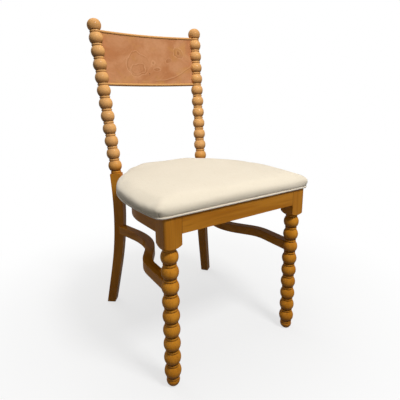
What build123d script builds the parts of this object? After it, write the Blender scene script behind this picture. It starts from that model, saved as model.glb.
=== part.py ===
# Spool chair: turned front legs and back posts, a bowed burl back panel, serpentine
# side stretchers and a crowned, piped overlay seat on a bell-shaped frame.
# Millimetres, +Z up, front towards -Y, origin on the floor under the middle of the chair.
from build123d import *

import math
import os

os.makedirs("parts", exist_ok=True)

# Layout of the chair
front_leg_spacing = 396.0  # between the front leg axes
front_leg_y = -235.9  # front leg axes
rear_leg_spacing = 320.0  # between the rear leg axes at their waist
seat_depth = 409.8  # from the front leg axes to the rear leg axes at their waist
seat_frame_top = 445.0  # top of the seat rails and leg blocks
rail_height = 42.5
rail_thickness = 24.0
glue_gap = 0.15  # clearance in every glued or coped joint

# Spool turning
ball_pitch = 38.0  # front legs
ball_diameter = 42.0
front_ball_count = 9
ball_arc_radius = 23.4
collar_diameter = 32.8
collar_height = 6.5
foot_height = 22.0
foot_diameter = 33.6
foot_tip_diameter = 18.0
foot_round_share = 0.86  # of the foot's width, halfway round its toe
foot_round_height = 0.3  # of the foot's height, halfway round its toe
foot_widest_height = 0.75  # of the foot's height, where it is widest
block_size = 44.0
block_edge_radius = 7.0
shoulder_height = 9.5  # turned shoulder of a square block
shoulder_neck = 1.0  # how far the shoulder starts inside the collar
shoulder_swell = 3.0  # how far its curve swells past the block's face
shoulder_swell_share = 0.42  # of the shoulder's height, where it does
shoulder_end_share = 1.25  # of the shoulder's height, where the curve has left the block
shoulder_end_width = 1.5  # of half the block, past its corner
turning_room = 90.0  # spare length of the turned envelope round a block or leg

# Back posts
post_set_out = 2.2  # post axis at the shoulder above the seat, outside the leg's waist
post_set_back = 6.7  # and behind it
post_shoulder_rise = 16.0  # shoulder above the seat frame
post_lean = 7.8  # degrees backwards
post_splay = 2.14  # degrees outwards
post_ball_pitch = 39.1
post_ball_diameter = 42.0
post_ball_count = 11
finial_diameter = 42.4
finial_lift = 16.8  # finial centre above the topmost collar
finial_tip_radius = 2.0  # flat left by the lathe centre

# Swept rear legs, square and set diagonally
rear_leg_width = 32.0
rear_foot_width = 27.5
rear_leg_cant = 38.0  # degrees that the section is turned about the vertical
leg_bend_top = 350.0  # the outward sweep starts here
leg_bend_bottom = 130.0  # and runs straight from here to the floor
leg_sweep_slope = 0.197
leg_sweep_heading = 38.8  # degrees from the X axis, outwards and backwards
leg_stations = 8
rear_foot_chamfer = 2.5

# Back panel and its two mouldings
panel_ball_count = 4  # balls of the post that the panel spans
panel_thickness = 9.0
panel_bow = 18.0  # how far the middle lies behind the ends
panel_tongue = 11.0  # how near the panel's edge comes to the post axis
panel_groove = 1.0  # how far it enters the mouldings
panel_gap = 0.3  # clearance in its grooves
moulding_height = 9.0
moulding_depth = 14.0
moulding_round = 4.0
top_moulding_lift = 1.5  # above the collar that it meets
lower_moulding_lift = 0.7  # above the collar that it meets
moulding_tenon_diameter = 6.0
moulding_tenon_reach = 8.0  # how near the tenon comes to the post axis
moulding_tenon_length = 22.0

# Seat rails
side_rail_flare = 3.5  # degrees outwards at the front
side_rail_front_run = 76.0
side_rail_shoulder_radius = 172.0
side_rail_inward_turn = 23.5  # steepest inward heading, in degrees
rear_rail_set_back = 4.2  # rear face of the frame behind the rear legs' waist
rail_seat_shift = 6.0  # where the side rail crosses the post's inner face, from its middle
rail_overrun = 48.0  # past the post's inner face, before the frame's rear face trims it

# Serpentine stretchers
stretcher_ball = 3  # counted down from the block
stretcher_height = 26.0
stretcher_width = 26.0
stretcher_waist_inset = 24.5  # inside the rear legs' waist
stretcher_waist_share = 0.664  # of the seat depth
stretcher_front_radius = 100.0
stretcher_waist_radius = 150.0
stretcher_turn = 32.0  # degrees
stretcher_rear_ease = 1.27  # rear curve's turn against the angle of its chord
stretcher_edge_round = 1.5
stretcher_tenon_diameter = 13.0
stretcher_tenon_reach = 6.0  # how near the tenon comes to the leg axis
stretcher_tenon_length = 30.0

# Seat
seat_front_overhang = 2.0  # in front of the leg blocks
seat_side_overhang = 48.0  # outside the front leg axes
seat_widest_share = 0.3123  # of the seat depth
seat_corner_radius = 20.0
seat_front_side_radius = 780.0
seat_rear_turn = 36.0  # degrees that the side turns inwards
seat_rear_radius = 90.0
seat_rear_inset = 93.0  # end of the straight rear edge, inside the rear legs' waist
seat_rear_overhang = 2.2  # behind the rear legs' waist
cover_thickness = 1.2
cover_turn_under = 26.0
soft_gap = 0.3
board_thickness = 12.0
board_inset = 9.0
crown_rise = 48.0  # above the seat frame
crown_radius = 1650.0
crown_share = 0.476  # of the seat depth
cushion_edge_radius = 15.0
cushion_draw = 8.0  # degrees that the sides draw in towards the piping
piping_diameter = 5.0

# Blocks and fasteners
corner_block_height = 34.0
front_block_reach = 52.0
front_block_span = 0.8  # share of the rail's front run that the block reaches along
rear_block_reach = 60.0
rear_block_span = 0.36  # share of the rail's rear arc that the block runs along
dowel_diameter = 10.0
dowel_length = 44.0
dowel_height_gap = 20.0
rear_dowel_bite = 9.0  # length in the side rail
rear_dowel_share = 0.35  # of the rail's thickness, from its rear face
screw_diameter = 4.5
screw_head_diameter = 9.0
screw_head_height = 3.0
screw_bite = 16.0  # length in the rail
screw_grip = 9.0  # from the rail to the head in a front block
front_screw_share = 0.6  # of the front block's reach along the front rail
side_screw_share = 0.3  # of the side rail's front run
low_screw_share = 0.3  # of a block's height
high_screw_share = 0.7
rear_screw_grip = 7.0
rear_screw_inset = 17.0  # from the tip of a rear block
rear_seat_screw_inset = 35.0
rear_seat_screw_gap = 10.0  # from the rear rail
front_seat_screw_inset = 12.0  # from the leg block
front_seat_screw_gap = 20.0  # from the front rail
screw_room = 40.0  # open bore in front of a head
seat_screw_bite = 9.0  # length in the board
seat_screw_recess = 1.0  # head above the block's underside
bolt_diameter = 6.0
bolt_head_diameter = 11.0
bolt_head_height = 5.0
bolt_bite = 17.0  # length in the post
bolt_grip = 54.0  # from the post's face to the head
bolt_height_gap = 17.0
hole_gap = 0.2

# Derived places
leg_x = front_leg_spacing / 2
waist_x = rear_leg_spacing / 2
waist_y = front_leg_y + seat_depth
post_seat_x = waist_x + post_set_out
post_seat_y = waist_y + post_set_back
post_shoulder_z = seat_frame_top + post_shoulder_rise
seat_half_width = leg_x + seat_side_overhang
crown_top = seat_frame_top + crown_rise
crown_y = front_leg_y + seat_depth * crown_share
collar_radius = collar_diameter / 2
foot_radius = foot_diameter / 2
block_bottom = foot_height + front_ball_count * ball_pitch
rail_middle = seat_frame_top - rail_height / 2
block_half = block_size / 2
front_face_y = front_leg_y - block_half
front_rail_back = front_face_y + rail_thickness
rear_face_y = waist_y + rear_rail_set_back
rear_rail_front = rear_face_y - rail_thickness
stretcher_z = block_bottom - (stretcher_ball - 0.5) * ball_pitch
corner_block_floor = seat_frame_top - corner_block_height
board_bottom = seat_frame_top + cover_thickness
edge_inset = piping_diameter / 2 + soft_gap + piping_diameter * math.tan(math.radians(cushion_draw))
right_way = Vector(1, 0, 0)
leg_plane = Plane(origin=(-leg_x, front_leg_y, 0), x_dir=(1, 0, 0), z_dir=(0, -1, 0))
leg_axis = Axis((-leg_x, front_leg_y, 0), (0, 0, 1))

post_foot = Vector(-post_seat_x, post_seat_y, post_shoulder_z)
post_way = Vector(
    -math.tan(math.radians(post_splay)),
    math.tan(math.radians(post_lean)),
    1,
).normalized()
lean_way = Vector(0, post_way.Y, post_way.Z).normalized()
back_way = lean_way.cross(right_way)
post_side_way = back_way.cross(post_way)
post_plane = Plane(origin=post_foot, x_dir=post_side_way, z_dir=back_way * -1)
post_axis = Axis(post_foot, post_way)
top_collar_rise = post_ball_count * post_ball_pitch
panel_collar_rise = (post_ball_count - panel_ball_count) * post_ball_pitch
top_moulding_rise = top_collar_rise + top_moulding_lift
lower_moulding_rise = panel_collar_rise + lower_moulding_lift


def mirrored(place):
    return Vector(-place.X, place.Y, place.Z)


def rear_leg_center(z):
    # Plan position of the left rear leg at a height, from the post's shoulder to the floor
    bend = leg_bend_top - leg_bend_bottom
    if z >= leg_bend_top:
        run = 0.0
    elif z >= leg_bend_bottom:
        run = leg_sweep_slope * (leg_bend_top - z) ** 2 / (2 * bend)
    else:
        run = leg_sweep_slope * ((leg_bend_top + leg_bend_bottom) / 2 - z)
    rise = max(0.0, (z - leg_bend_top) / (post_shoulder_z - leg_bend_top)) ** 2
    x = waist_x + post_set_out * rise + run * math.cos(math.radians(leg_sweep_heading))
    y = waist_y + post_set_back * rise + run * math.sin(math.radians(leg_sweep_heading))
    return Vector(-x, y, z)


def rear_leg_size(z):
    return rear_foot_width + (rear_leg_width - rear_foot_width) * min(1.0, z / leg_bend_top)


# Normal of the left rear leg's inner face
inner_way = Vector(1, 0, 0).rotate(Axis.Z, -rear_leg_cant)


def spool_outline(base, count, pitch, radius, collar):
    # Half profile of a row of balls with a collar under, between and over them
    half_ball = (pitch - collar_height) / 2
    quirk = radius - ball_arc_radius + math.sqrt(ball_arc_radius**2 - half_ball**2)
    for i in range(count + 1):
        ring = base + i * pitch
        low = (quirk, ring - collar_height / 2)
        high = (quirk, ring + collar_height / 2)
        ThreePointArc(low, (collar, ring), high)
        if i < count:
            middle = ring + pitch / 2
            ThreePointArc(high, (radius, middle), (quirk, middle + half_ball))
    return quirk


def shoulder_outline(base, sign, reach):
    # Half profile of a turned shoulder that rounds off the end of a square block
    start = (collar_radius - shoulder_neck, base)
    middle = (block_half + shoulder_swell, base + sign * shoulder_height * shoulder_swell_share)
    end = (block_half * shoulder_end_width, base + sign * shoulder_height * shoulder_end_share)
    far = base + sign * reach
    ThreePointArc(start, middle, end)
    Polyline(end, (reach, end[1]), (reach, far), (0, far), (0, base), start)


def front_leg_form(grow):
    base = block_bottom + collar_height / 2
    with BuildPart() as form:
        with BuildSketch(Plane(origin=(-leg_x, front_leg_y, base))):
            Rectangle(block_size + 2 * grow, block_size + 2 * grow)
        extrude(amount=seat_frame_top - base)
        fillet(form.edges().filter_by(Axis.Z).group_by(Axis.Y)[0].sort_by(Axis.X)[0], block_edge_radius)
        with BuildSketch(leg_plane):
            with BuildLine():
                shoulder_outline(base, 1, seat_frame_top - base + turning_room)
            make_face()
        revolve(axis=leg_axis, mode=Mode.INTERSECT)
        with BuildSketch(leg_plane):
            with BuildLine():
                quirk = spool_outline(
                    foot_height, front_ball_count, ball_pitch, ball_diameter / 2 + grow, collar_radius + grow
                )
                neck = foot_height - collar_height / 2
                toe = (foot_tip_diameter / 2, 0)
                round_of_toe = (foot_radius * foot_round_share, neck * foot_round_height)
                widest = (foot_radius, neck * foot_widest_height)
                Polyline((quirk, base), (0, base), (0, 0), toe)
                ThreePointArc(toe, round_of_toe, widest)
                Line(widest, (quirk, neck))
            make_face()
        revolve(axis=leg_axis)
    return form.part


def back_post_form(grow):
    top = post_shoulder_z - collar_height / 2
    with BuildPart() as form:
        for i in range(leg_stations):
            z = top * i / (leg_stations - 1)
            center = rear_leg_center(z)
            with BuildSketch(Plane(origin=center, x_dir=inner_way)):
                Rectangle(rear_leg_size(z) + 2 * grow, rear_leg_size(z) + 2 * grow)
        loft()
        chamfer(form.faces().sort_by(Axis.Z)[0].edges(), rear_foot_chamfer)
        with BuildSketch(post_plane):
            with BuildLine():
                shoulder_outline(-collar_height / 2, -1, post_shoulder_z + turning_room)
            make_face()
        revolve(axis=post_axis, mode=Mode.INTERSECT)
        with BuildSketch(post_plane):
            with BuildLine():
                low = -collar_height
                neck = top_collar_rise + collar_height / 2
                finial_middle = top_collar_rise + finial_lift
                finial_radius = finial_diameter / 2 + grow
                finial_top = finial_middle + math.sqrt(finial_radius**2 - finial_tip_radius**2)
                quirk = spool_outline(
                    0, post_ball_count, post_ball_pitch, post_ball_diameter / 2 + grow, collar_radius + grow
                )
                finial_tip = (finial_tip_radius, finial_top)
                ThreePointArc((quirk, neck), (finial_radius, finial_middle), finial_tip)
                Polyline(finial_tip, (0, finial_top), (0, low), (quirk, low), (quirk, -collar_height / 2))
            make_face()
        revolve(axis=post_axis)
    return form.part


def back_level(rise):
    # Plane across the back at a distance up the posts, local Y backwards
    return Plane(
        origin=(0, post_foot.Y + lean_way.Y * rise, post_foot.Z + lean_way.Z * rise),
        x_dir=right_way,
        z_dir=lean_way,
    )


def post_half_spacing(rise):
    return post_seat_x + rise * math.tan(math.radians(post_splay))


# The panel and both mouldings follow one bow, which meets the post axes at the top moulding
bow_half = post_half_spacing(top_moulding_rise)
bow_radius = (bow_half**2 + panel_bow**2) / (2 * panel_bow)


def panel_form(grow):
    low = lower_moulding_rise + moulding_height / 2 - panel_groove - grow
    high = top_moulding_rise - moulding_height / 2 + panel_groove + grow
    half = bow_half
    depth = panel_thickness / 2 + grow
    left_edge = post_foot + right_way * (panel_tongue - grow)
    with BuildPart() as form:
        with BuildSketch(back_level(low)):
            with BuildLine():
                ThreePointArc((-half, -depth), (0, panel_bow - depth), (half, -depth))
                Line((half, -depth), (half, depth))
                ThreePointArc((half, depth), (0, panel_bow + depth), (-half, depth))
                Line((-half, depth), (-half, -depth))
            make_face()
        extrude(amount=high - low)
        split(bisect_by=Plane(origin=left_edge, z_dir=post_side_way))
        split(bisect_by=Plane(origin=mirrored(left_edge), z_dir=mirrored(post_side_way)))
    return form.part


def moulding_path(rise):
    half = post_half_spacing(rise)
    end = panel_bow - bow_radius + math.sqrt(bow_radius**2 - half**2)
    with BuildLine(back_level(rise)) as path:
        ThreePointArc((-half, end), (0, panel_bow), (half, end))
    return path.line


def moulding_tenons(rise, grow):
    path = moulding_path(rise)
    with BuildPart() as form:
        for end, sign in ((0, 1), (1, -1)):
            way = (path % end) * sign
            tip = (path @ end) + way * (moulding_tenon_reach - grow)
            with BuildSketch(Plane(origin=tip, z_dir=way)):
                Circle(moulding_tenon_diameter / 2 + grow)
            extrude(amount=moulding_tenon_length)
    return form.part


def moulding_form(rise, groove_side):
    # Grooved for the panel on its upper side, 1, or its lower side, -1
    path = moulding_path(rise)
    with BuildPart() as form:
        with BuildSketch(Plane(origin=path @ 0, x_dir=lean_way, z_dir=path % 0)):
            RectangleRounded(moulding_height, moulding_depth, moulding_round)
            with Locations((groove_side * moulding_height / 2, 0)):
                groove_width = panel_thickness + 2 * panel_gap
                Rectangle(2 * (panel_groove + panel_gap), groove_width, mode=Mode.SUBTRACT)
        sweep(path=path)
        add(post_cutter, mode=Mode.SUBTRACT)
        add(mirror(post_cutter, about=Plane.YZ), mode=Mode.SUBTRACT)
        add(moulding_tenons(rise, 0))
    return form.part


# Plan line of the left seat rail
inner_face = rear_leg_center(rail_middle) + inner_way * (rear_leg_size(rail_middle) / 2)
face_way = inner_way.rotate(Axis.Z, 90)
rail_start = Vector(-(leg_x + block_half - rail_thickness / 2), front_leg_y + block_half, rail_middle)
rail_heading = Vector(0, 1, 0).rotate(Axis.Z, side_rail_flare)
rail_target = inner_face - face_way * rail_seat_shift + right_way * (rail_thickness / 2)
with BuildLine(Plane.XY.offset(rail_middle)) as rail_line:
    rail_run = Line(
        rail_start - rail_heading * block_half / 2, rail_start + rail_heading * side_rail_front_run
    )
    rail_shoulder = JernArc(
        rail_run @ 1, rail_heading, side_rail_shoulder_radius, -(side_rail_flare + side_rail_inward_turn)
    )
    rail_sweep = TangentArc(rail_shoulder @ 1, rail_target, tangent=rail_shoulder % 1)
    Line(rail_sweep @ 1, (rail_sweep @ 1) + (rail_sweep % 1) * rail_overrun)


def side_rail_form(grow):
    path = rail_line.line
    with BuildPart() as form:
        with BuildSketch(Plane(origin=path @ 0, x_dir=(0, 0, 1), z_dir=path % 0)):
            Rectangle(rail_height, rail_thickness + 2 * grow)
        sweep(path=path)
        split(bisect_by=Plane(origin=(0, rear_face_y, 0), z_dir=(0, -1, 0)))
    return form.part


def stretcher_line():
    # Plan line of the left stretcher: out of the front leg, in to the waist, out to the rear leg
    front = Vector(-leg_x, front_leg_y, stretcher_z)
    waist_depth = seat_depth * stretcher_waist_share
    waist = Vector(stretcher_waist_inset - waist_x, front_leg_y + waist_depth, stretcher_z)
    rear = rear_leg_center(stretcher_z)
    turn = math.radians(stretcher_turn)
    radii = stretcher_front_radius + stretcher_waist_radius
    slant = (waist.X - front.X - radii * (1 - math.cos(turn))) / math.sin(turn)
    run = waist.Y - front.Y - radii * math.sin(turn) - slant * math.cos(turn)
    aside = waist.X - rear.X
    ahead = rear.Y - waist.Y
    rear_turn = stretcher_rear_ease * math.atan2(aside, ahead)
    rear_radius = (ahead * math.sin(rear_turn) - aside * math.cos(rear_turn)) / (1 - math.cos(rear_turn))
    with BuildLine(Plane.XY.offset(stretcher_z)) as path:
        first = Line(front, front + Vector(0, run, 0))
        bend = JernArc(first @ 1, first % 1, stretcher_front_radius, -stretcher_turn)
        second = Line(bend @ 1, (bend @ 1) + (bend % 1) * slant)
        curve = JernArc(second @ 1, second % 1, stretcher_waist_radius, stretcher_turn)
        last = JernArc(curve @ 1, curve % 1, rear_radius, math.degrees(rear_turn))
        Line(last @ 1, rear)
    return path.line


def stretcher_tenons(grow):
    path = stretcher_line()
    with BuildPart() as form:
        for end, sign in ((0, 1), (1, -1)):
            way = (path % end) * sign
            tip = (path @ end) + way * (stretcher_tenon_reach - grow)
            with BuildSketch(Plane(origin=tip, z_dir=way)):
                Circle(stretcher_tenon_diameter / 2 + grow)
            extrude(amount=stretcher_tenon_length)
    return form.part


def peg(plane, length, diameter, grow):
    with BuildPart() as form:
        with BuildSketch(plane.offset(-grow)):
            Circle(diameter / 2 + grow)
        extrude(amount=length + 2 * grow)
    return form.part


def headed(plane, length, diameter, head_diameter, head_height, grow, room):
    # A screw or bolt: the plane is the underside of the head, and points along the shank
    with BuildPart() as form:
        with BuildSketch(plane):
            Circle(diameter / 2 + grow)
        extrude(amount=length + grow)
        with BuildSketch(plane.offset(grow)):
            Circle(head_diameter / 2 + grow)
        extrude(amount=-(head_height + grow + room))
    return form.part


# Places of the left dowels, screws and bolts
dowel_levels = [rail_middle - dowel_height_gap / 2, rail_middle + dowel_height_gap / 2]
bolt_levels = [rail_middle - bolt_height_gap / 2, rail_middle + bolt_height_gap / 2]
half_dowel = dowel_length / 2
front_dowel_places = [
    Plane(origin=(-leg_x + block_half - half_dowel, front_face_y + rail_thickness / 2, z), z_dir=(1, 0, 0))
    for z in dowel_levels
]
side_dowel_places = [
    Plane(origin=(rail_start.X, rail_start.Y - half_dowel, z), z_dir=(0, 1, 0)) for z in dowel_levels
]
rear_dowel_x = rail_target.X + rail_thickness / 2 - rear_dowel_bite
rear_dowel_y = rear_face_y - rail_thickness * rear_dowel_share
rear_dowel_places = [Plane(origin=(rear_dowel_x, rear_dowel_y, z), z_dir=(1, 0, 0)) for z in dowel_levels]
bolt_seat = inner_face + inner_way * bolt_grip
bolt_places = [Plane(origin=(bolt_seat.X, bolt_seat.Y, z), z_dir=inner_way * -1) for z in bolt_levels]
bolt_length = bolt_grip + bolt_bite

block_inner_x = -leg_x + block_half
front_block_mark = rail_start + rail_heading * side_rail_front_run * front_block_span
rear_block_mark = rail_sweep @ (1 - rear_block_span)
rear_block_tip = rail_target.X + rail_thickness / 2 + rear_block_reach
front_screw_x = block_inner_x + front_block_reach * front_screw_share
side_screw_y = front_leg_y + block_half + side_rail_front_run * side_screw_share
side_screw_x = rail_start.X + rail_thickness / 2 + screw_grip
screw_low = corner_block_floor + corner_block_height * low_screw_share
screw_high = corner_block_floor + corner_block_height * high_screw_share
block_screw_places = [
    (Plane(origin=(front_screw_x, front_rail_back + screw_grip, screw_high), z_dir=(0, -1, 0)), screw_grip),
    (Plane(origin=(side_screw_x, side_screw_y, screw_low), z_dir=(-1, 0, 0)), screw_grip),
    (
        Plane(
            origin=(rear_block_tip - rear_screw_inset, rear_rail_front - rear_screw_grip, screw_low),
            z_dir=(0, 1, 0),
        ),
        rear_screw_grip,
    ),
]
seat_screw_floor = corner_block_floor + screw_head_height + seat_screw_recess
front_seat_screw_x = block_inner_x + front_seat_screw_inset
front_seat_screw_y = front_rail_back + front_seat_screw_gap
rear_seat_screw_x = rear_block_tip - rear_seat_screw_inset
rear_seat_screw_y = rear_rail_front - rear_seat_screw_gap
seat_screw_places = [
    Plane(origin=(front_seat_screw_x, front_seat_screw_y, seat_screw_floor)),
    Plane(origin=(rear_seat_screw_x, rear_seat_screw_y, seat_screw_floor)),
]
seat_screw_length = board_bottom + seat_screw_bite - seat_screw_floor


def dowels(places, length, grow):
    with BuildPart() as form:
        for place in places:
            add(peg(place, length, dowel_diameter, grow))
    return form.part


def bolts(grow, room):
    with BuildPart() as form:
        for place in bolt_places:
            add(headed(place, bolt_length, bolt_diameter, bolt_head_diameter, bolt_head_height, grow, room))
    return form.part


def block_screws(grow, room):
    with BuildPart() as form:
        for place, grip in block_screw_places:
            length = grip + screw_bite
            add(headed(place, length, screw_diameter, screw_head_diameter, screw_head_height, grow, room))
    return form.part


def seat_screws_left(grow, room):
    with BuildPart() as form:
        for place in seat_screw_places:
            length = seat_screw_length
            add(headed(place, length, screw_diameter, screw_head_diameter, screw_head_height, grow, room))
    return form.part


rear_dowel_length = rear_dowel_bite + half_dowel
post_cutter = back_post_form(glue_gap)
leg_cutter = front_leg_form(glue_gap)
rail_cutter = side_rail_form(glue_gap)
dowel_holes = Part() + [
    dowels(front_dowel_places, dowel_length, hole_gap),
    dowels(side_dowel_places, dowel_length, hole_gap),
    dowels(rear_dowel_places, rear_dowel_length, hole_gap),
]
bolt_holes = bolts(hole_gap, screw_room)
block_screw_holes = block_screws(hole_gap, screw_room)
seat_screw_holes = seat_screws_left(hole_gap, screw_room)

# Front legs
with BuildPart() as left_front_leg:
    add(front_leg_form(0))
    add(dowel_holes, mode=Mode.SUBTRACT)
    add(stretcher_tenons(hole_gap), mode=Mode.SUBTRACT)

with BuildPart() as right_front_leg:
    add(mirror(left_front_leg.part, about=Plane.YZ))

# Back posts, each one piece with its rear leg
with BuildPart() as left_back_post:
    add(back_post_form(0))
    add(panel_form(panel_gap), mode=Mode.SUBTRACT)
    add(moulding_tenons(top_moulding_rise, hole_gap), mode=Mode.SUBTRACT)
    add(moulding_tenons(lower_moulding_rise, hole_gap), mode=Mode.SUBTRACT)
    add(stretcher_tenons(hole_gap), mode=Mode.SUBTRACT)
    add(bolt_holes, mode=Mode.SUBTRACT)

with BuildPart() as right_back_post:
    add(mirror(left_back_post.part, about=Plane.YZ))

# Back panel and mouldings
with BuildPart() as back_panel:
    add(panel_form(0))

with BuildPart() as top_back_rail:
    add(moulding_form(top_moulding_rise, -1))

with BuildPart() as lower_back_rail:
    add(moulding_form(lower_moulding_rise, 1))

# Seat rails
with BuildPart() as front_seat_rail:
    rail_span = 2 * (leg_x - block_half - glue_gap)
    with BuildSketch(Plane(origin=(0, front_face_y + rail_thickness / 2, seat_frame_top - rail_height))):
        Rectangle(rail_span, rail_thickness)
    extrude(amount=rail_height)
    for holes in (dowel_holes, block_screw_holes):
        add(holes, mode=Mode.SUBTRACT)
        add(mirror(holes, about=Plane.YZ), mode=Mode.SUBTRACT)

with BuildPart() as left_seat_rail:
    add(side_rail_form(0))
    add(leg_cutter, mode=Mode.SUBTRACT)
    add(post_cutter, mode=Mode.SUBTRACT)
    add(dowel_holes, mode=Mode.SUBTRACT)
    add(block_screw_holes, mode=Mode.SUBTRACT)
    add(bolt_holes, mode=Mode.SUBTRACT)

with BuildPart() as right_seat_rail:
    add(mirror(left_seat_rail.part, about=Plane.YZ))

with BuildPart() as rear_seat_rail:
    with BuildSketch(Plane(origin=(0, rear_face_y - rail_thickness / 2, seat_frame_top - rail_height))):
        Rectangle(-2 * rail_target.X, rail_thickness)
    extrude(amount=rail_height)
    for holes in (rail_cutter, dowel_holes, block_screw_holes, bolt_holes):
        add(holes, mode=Mode.SUBTRACT)
        add(mirror(holes, about=Plane.YZ), mode=Mode.SUBTRACT)

# Stretchers
with BuildPart() as left_stretcher:
    stretcher_path = stretcher_line()
    with BuildSketch(Plane(origin=stretcher_path @ 0, x_dir=(0, 0, 1), z_dir=stretcher_path % 0)):
        RectangleRounded(stretcher_height, stretcher_width, stretcher_edge_round)
    sweep(path=stretcher_path)
    add(leg_cutter, mode=Mode.SUBTRACT)
    add(post_cutter, mode=Mode.SUBTRACT)
    add(stretcher_tenons(0))

with BuildPart() as right_stretcher:
    add(mirror(left_stretcher.part, about=Plane.YZ))

# Corner blocks
with BuildPart() as left_front_block:
    with BuildSketch(Plane.XY.offset(corner_block_floor)):
        with BuildLine():
            Polyline(
                (block_inner_x, front_rail_back),
                (block_inner_x + front_block_reach, front_rail_back),
                (front_block_mark.X, front_block_mark.Y),
                (rail_start.X, rail_start.Y),
                (block_inner_x, rail_start.Y),
                close=True,
            )
        make_face()
    extrude(amount=corner_block_height)
    add(rail_cutter, mode=Mode.SUBTRACT)
    add(block_screw_holes, mode=Mode.SUBTRACT)
    add(seat_screw_holes, mode=Mode.SUBTRACT)

with BuildPart() as right_front_block:
    add(mirror(left_front_block.part, about=Plane.YZ))

with BuildPart() as left_rear_block:
    with BuildSketch(Plane.XY.offset(corner_block_floor)):
        with BuildLine():
            Polyline(
                (rail_target.X, rear_rail_front),
                (rear_block_tip, rear_rail_front),
                (rear_block_mark.X, rear_block_mark.Y),
                close=True,
            )
        make_face()
    extrude(amount=corner_block_height)
    add(rail_cutter, mode=Mode.SUBTRACT)
    add(block_screw_holes, mode=Mode.SUBTRACT)
    add(seat_screw_holes, mode=Mode.SUBTRACT)
    add(bolt_holes, mode=Mode.SUBTRACT)

with BuildPart() as right_rear_block:
    add(mirror(left_rear_block.part, about=Plane.YZ))

# Fasteners of both sides
with BuildPart() as front_rail_dowels:
    add(dowels(front_dowel_places, dowel_length, 0))
    mirror(about=Plane.YZ)

with BuildPart() as side_rail_dowels:
    add(dowels(side_dowel_places, dowel_length, 0))
    mirror(about=Plane.YZ)

with BuildPart() as rear_rail_dowels:
    add(dowels(rear_dowel_places, rear_dowel_length, 0))
    mirror(about=Plane.YZ)

with BuildPart() as post_bolts:
    add(bolts(0, 0))
    mirror(about=Plane.YZ)

with BuildPart() as corner_block_screws:
    add(block_screws(0, 0))
    mirror(about=Plane.YZ)

with BuildPart() as seat_screws:
    add(seat_screws_left(0, 0))
    mirror(about=Plane.YZ)


def seat_outline():
    # Bell-shaped plan of the seat, along the piping
    widest = (-seat_half_width, front_leg_y + seat_depth * seat_widest_share)
    front = front_face_y - seat_front_overhang
    rear = waist_y + seat_rear_overhang
    front_sine = (widest[1] - front - seat_corner_radius) / (seat_front_side_radius - seat_corner_radius)
    front_turn = math.degrees(math.asin(front_sine))
    sine = math.sin(math.radians(seat_rear_turn))
    cosine = math.cos(math.radians(seat_rear_turn))
    across = seat_half_width - waist_x + seat_rear_inset
    back = rear - seat_rear_radius - widest[1]
    flank_radius = (seat_rear_radius - across * cosine + back * sine) / (1 - cosine)
    run = back + (seat_rear_radius - flank_radius) * sine
    side = JernArc(widest, (0, -1), seat_front_side_radius, front_turn)
    corner = JernArc(side @ 1, side % 1, seat_corner_radius, 90 - front_turn)
    flank = JernArc(widest, (0, 1), flank_radius, -seat_rear_turn)
    slant = Line(flank @ 1, (flank @ 1) + (flank % 1) * (run / cosine))
    shoulder = JernArc(slant @ 1, slant % 1, seat_rear_radius, seat_rear_turn - 90)
    mirror(about=Plane.YZ)
    Line(corner @ 1, mirrored(corner @ 1))
    Line(shoulder @ 1, mirrored(shoulder @ 1))


def seat_slab(inset, floor, thickness):
    with BuildPart() as form:
        with BuildSketch(Plane.XY.offset(floor)):
            with BuildLine():
                seat_outline()
            make_face()
            offset(amount=-inset, mode=Mode.REPLACE)
        extrude(amount=thickness)
    return form.part


def cushion_form(inset, floor):
    # Sides that swell over the piping, under a crown with a rounded edge
    with BuildPart() as form:
        with BuildSketch(Plane.XY.offset(floor)):
            with BuildLine():
                seat_outline()
            make_face()
            offset(amount=-(edge_inset + inset), mode=Mode.REPLACE)
        extrude(amount=crown_top - floor, taper=-cushion_draw)
        with Locations((0, crown_y, crown_top - crown_radius)):
            Sphere(crown_radius - inset, mode=Mode.INTERSECT)
        fillet(form.faces().sort_by(Axis.Z)[-1].edges(), cushion_edge_radius - inset)
    return form.part


# Seat, from the frame up
with BuildPart() as seat_cover:
    add(cushion_form(0, seat_frame_top))
    add(cushion_form(cover_thickness, board_bottom), mode=Mode.SUBTRACT)
    add(seat_slab(edge_inset + cover_turn_under, seat_frame_top, cover_thickness), mode=Mode.SUBTRACT)
    add(seat_screw_holes, mode=Mode.SUBTRACT)
    add(mirror(seat_screw_holes, about=Plane.YZ), mode=Mode.SUBTRACT)

with BuildPart() as seat_dust_cover:
    add(seat_slab(edge_inset + cover_turn_under + soft_gap, seat_frame_top, cover_thickness))
    add(seat_screw_holes, mode=Mode.SUBTRACT)
    add(mirror(seat_screw_holes, about=Plane.YZ), mode=Mode.SUBTRACT)

with BuildPart() as seat_board:
    add(seat_slab(edge_inset + board_inset, board_bottom, board_thickness))
    add(seat_screw_holes, mode=Mode.SUBTRACT)
    add(mirror(seat_screw_holes, about=Plane.YZ), mode=Mode.SUBTRACT)

with BuildPart() as seat_foam:
    add(cushion_form(cover_thickness + soft_gap, board_bottom))
    add(seat_slab(edge_inset + board_inset - soft_gap, board_bottom, board_thickness), mode=Mode.SUBTRACT)

with BuildPart() as seat_piping:
    with BuildLine(Plane.XY.offset(seat_frame_top + piping_diameter / 2)) as piping_line:
        seat_outline()
    with BuildSketch(Plane(origin=piping_line.line @ 0, z_dir=piping_line.line % 0)):
        Circle(piping_diameter / 2)
    sweep(path=piping_line.line)

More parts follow.
